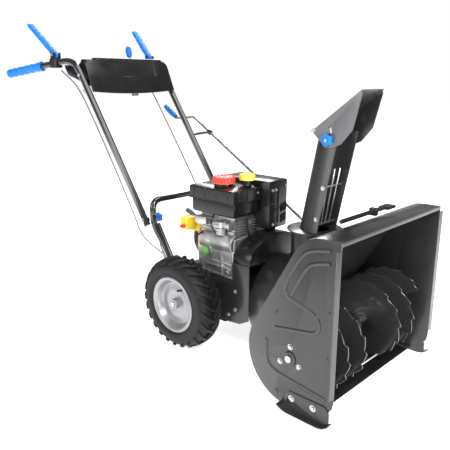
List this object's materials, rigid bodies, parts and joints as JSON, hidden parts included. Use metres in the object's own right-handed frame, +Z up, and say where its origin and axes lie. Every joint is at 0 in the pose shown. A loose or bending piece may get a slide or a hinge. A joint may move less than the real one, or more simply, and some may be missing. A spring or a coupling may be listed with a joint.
{
  "type": "snow blower",
  "caption": "Walk-behind snow blower with a wide auger housing, blower fan, turning chute with deflector, petrol engine on two wheels, and a folding handlebar with levers and a chute crank.",
  "frame": {"origin": "on the ground, under the middle of the machine's footprint", "axes": "-Y forward to the auger's mouth, +Y back to the grips, +X the operator's left, +Z up"},
  "size_m": [0.6575, 1.6293, 1.1294],
  "materials": {
    "steel_paint": "satin dark grey paint on pressed steel",
    "gloss_paint": "gloss black paint on steel",
    "zinc": "zinc-plated steel",
    "cast": "cast, a little rough",
    "black_plastic": "fine grain",
    "rubber": "matte",
    "tyre": "matte",
    "rim_paint": "silver paint",
    "blue": "smooth",
    "red": "smooth",
    "yellow": "smooth",
    "green": "smooth"
  },
  "bodies": {
    "frame": {"side_plate_left": "steel_paint", "side_plate_right": "steel_paint", "skid_shoe_left": "steel_paint", "skid_shoe_right": "steel_paint", "housing_shell": "steel_paint", "scraper_bar": "steel_paint", "impeller_drum": "steel_paint", "auger_gearcase": "cast", "chassis_box": "steel_paint", "bottom_cover": "steel_paint", "belt_cover": "black_plastic", "auger_belt": "rubber", "engine_block": "cast", "fuel_tank": "black_plastic", "engine_hood": "black_plastic", "starter_housing": "black_plastic", "switch_plate": "yellow", "lower_handle_frame": "gloss_paint", "clean_out_tool": "black_plastic"},
    "auger": {"auger_shaft": "zinc", "auger_flight_left": "gloss_paint", "auger_flight_right": "gloss_paint"},
    "impeller": {"impeller_fan": "gloss_paint", "impeller_shaft": "zinc", "impeller_pulley": "cast"},
    "engine_shaft": {"engine_pulley": "cast"},
    "wheels": {"wheel_axle": "zinc", "axle_gear": "zinc", "rim_left": "rim_paint", "rim_right": "rim_paint", "tyre_left": "tyre", "tyre_right": "tyre"},
    "friction_drive": {"friction_wheel": "zinc"},
    "chute": {"chute": "steel_paint", "chute_guard": "zinc"},
    "deflector": {"deflector": "steel_paint"},
    "deflector_knob": {"deflector_knob": "blue"},
    "chute_pinion": {"chute_pinion": "zinc"},
    "crank": {"crank_rod": "zinc"},
    "crank_grip": {"crank_grip": "blue"},
    "handlebar": {"handlebar_left": "gloss_paint", "handlebar_right": "gloss_paint", "grip_left": "blue", "grip_right": "blue", "lever_bracket_left": "black_plastic", "lever_bracket_right": "black_plastic", "control_panel": "black_plastic", "crank_eye": "gloss_paint", "cable_left": "rubber", "cable_right": "rubber"},
    "drive_clutch_lever": {"drive_clutch_lever": "blue"},
    "auger_clutch_lever": {"auger_clutch_lever": "blue"},
    "shift_lever": {"shift_lever": "zinc"},
    "fold_knob_left": {"fold_knob_left": "blue"},
    "fold_knob_right": {"fold_knob_right": "blue"},
    "fuel_cap": {"fuel_cap": "red"},
    "oil_filler_cap": {"oil_filler_cap": "yellow"},
    "dipstick_cap": {"dipstick_cap": "green"},
    "ignition_key": {"ignition_key": "red"},
    "starter_grip": {"starter_grip": "black_plastic"}
  },
  "joints": [
    {"name": "auger_turn", "type": "hinge", "parent": "frame", "child": "auger", "pos_m": [0, -0.6667, 0.156], "axis": [1, 0, 0], "continuous": true},
    {"name": "impeller_turn", "type": "hinge", "parent": "frame", "child": "impeller", "pos_m": [0, -0.39, 0.185], "axis": [0, 1, 0], "continuous": true},
    {"name": "engine_turn", "type": "hinge", "parent": "frame", "child": "engine_shaft", "pos_m": [0, -0.3572, 0.345], "axis": [0, 1, 0], "continuous": true},
    {"name": "wheel_turn", "type": "hinge", "parent": "frame", "child": "wheels", "pos_m": [0, -0.1497, 0.164], "axis": [1, 0, 0], "continuous": true},
    {"name": "friction_drive_turn", "type": "hinge", "parent": "frame", "child": "friction_drive", "pos_m": [0, -0.2247, 0.2], "axis": [1, 0, 0], "continuous": true},
    {"name": "chute_turn", "type": "hinge", "parent": "frame", "child": "chute", "pos_m": [0, -0.5347, 0.452], "axis": [0, 0, 1], "range_deg": [-95, 95]},
    {"name": "deflector_tilt", "type": "hinge", "parent": "chute", "child": "deflector", "pos_m": [0, -0.5517, 0.7705], "axis": [1, 0, 0], "range_deg": [0, 35]},
    {"name": "deflector_knob_turn", "type": "hinge", "parent": "chute", "child": "deflector_knob", "pos_m": [-0.0585, -0.6077, 0.745], "axis": [1, 0, 0], "range_deg": [0, 360]},
    {"name": "chute_pinion_turn", "type": "hinge", "parent": "frame", "child": "chute_pinion", "pos_m": [0.062, -0.4657, 0.4412], "axis": [0.2865, 0.8991, 0.331], "range_deg": [-800, 800]},
    {"name": "crank_turn", "type": "hinge", "parent": "handlebar", "child": "crank", "pos_m": [0.28, 0.2183, 0.693], "axis": [0.2865, 0.8991, 0.331], "range_deg": [-800, 800]},
    {"name": "crank_grip_spin", "type": "hinge", "parent": "crank", "child": "crank_grip", "pos_m": [0.25254, 0.39511, 0.7442], "axis": [0.2865, 0.8991, 0.331], "continuous": true},
    {"name": "handlebar_fold", "type": "hinge", "parent": "frame", "child": "handlebar", "pos_m": [0, 0.0693, 0.414], "axis": [-1, 0, 0], "range_deg": [0, 55], "deforming": ["cable_left", "cable_right"]},
    {"name": "drive_clutch_turn", "type": "hinge", "parent": "handlebar", "child": "drive_clutch_lever", "pos_m": [0.237, 0.5623, 1.008], "axis": [-0.9816, 0.1908, 0], "range_deg": [0, 42], "stiffness_Nm_per_rad": 0.6, "springref_deg": -22.92},
    {"name": "auger_clutch_turn", "type": "hinge", "parent": "handlebar", "child": "auger_clutch_lever", "pos_m": [-0.237, 0.5623, 1.008], "axis": [-0.9816, -0.1908, 0], "range_deg": [0, 42], "stiffness_Nm_per_rad": 0.6, "springref_deg": -22.92},
    {"name": "shift_turn", "type": "hinge", "parent": "handlebar", "child": "shift_lever", "pos_m": [0.091, 0.4863, 0.852], "axis": [1, 0, 0], "range_deg": [-15, 15]},
    {"name": "fold_knob_left_turn", "type": "hinge", "parent": "frame", "child": "fold_knob_left", "pos_m": [0.15, 0.0693, 0.414], "axis": [1, 0, 0], "range_deg": [0, 360]},
    {"name": "fold_knob_right_turn", "type": "hinge", "parent": "frame", "child": "fold_knob_right", "pos_m": [-0.15, 0.0693, 0.414], "axis": [-1, 0, 0], "range_deg": [0, 360]},
    {"name": "fuel_cap_turn", "type": "hinge", "parent": "frame", "child": "fuel_cap", "pos_m": [-0.1, -0.2297, 0.5825], "axis": [0, 0, 1], "range_deg": [0, 90]},
    {"name": "oil_filler_cap_turn", "type": "hinge", "parent": "frame", "child": "oil_filler_cap", "pos_m": [-0.05, -0.2897, 0.5703], "axis": [0, 0, 1], "range_deg": [0, 360]},
    {"name": "dipstick_cap_turn", "type": "hinge", "parent": "frame", "child": "dipstick_cap", "pos_m": [-0.1253, -0.1797, 0.336], "axis": [-1, 0, 0], "range_deg": [0, 360]},
    {"name": "ignition_key_pull", "type": "slide", "parent": "frame", "child": "ignition_key", "axis": [-1, 0, 0], "range_m": [0, 0.012]},
    {"name": "starter_pull", "type": "slide", "parent": "frame", "child": "starter_grip", "axis": [0, 0.9403, 0.3403], "range_m": [0, 0.4], "stiffness_N_per_m": 20, "springref_m": -0.3}
  ],
  "couplings": [
    {"joint": "impeller_turn", "follows": "auger_turn", "ratio": 10},
    {"joint": "engine_turn", "follows": "auger_turn", "ratio": 27.5},
    {"joint": "friction_drive_turn", "follows": "wheel_turn", "ratio": -2},
    {"joint": "chute_pinion_turn", "follows": "chute_turn", "ratio": -8.4},
    {"joint": "crank_turn", "follows": "chute_turn", "ratio": -8.4}
  ]
}
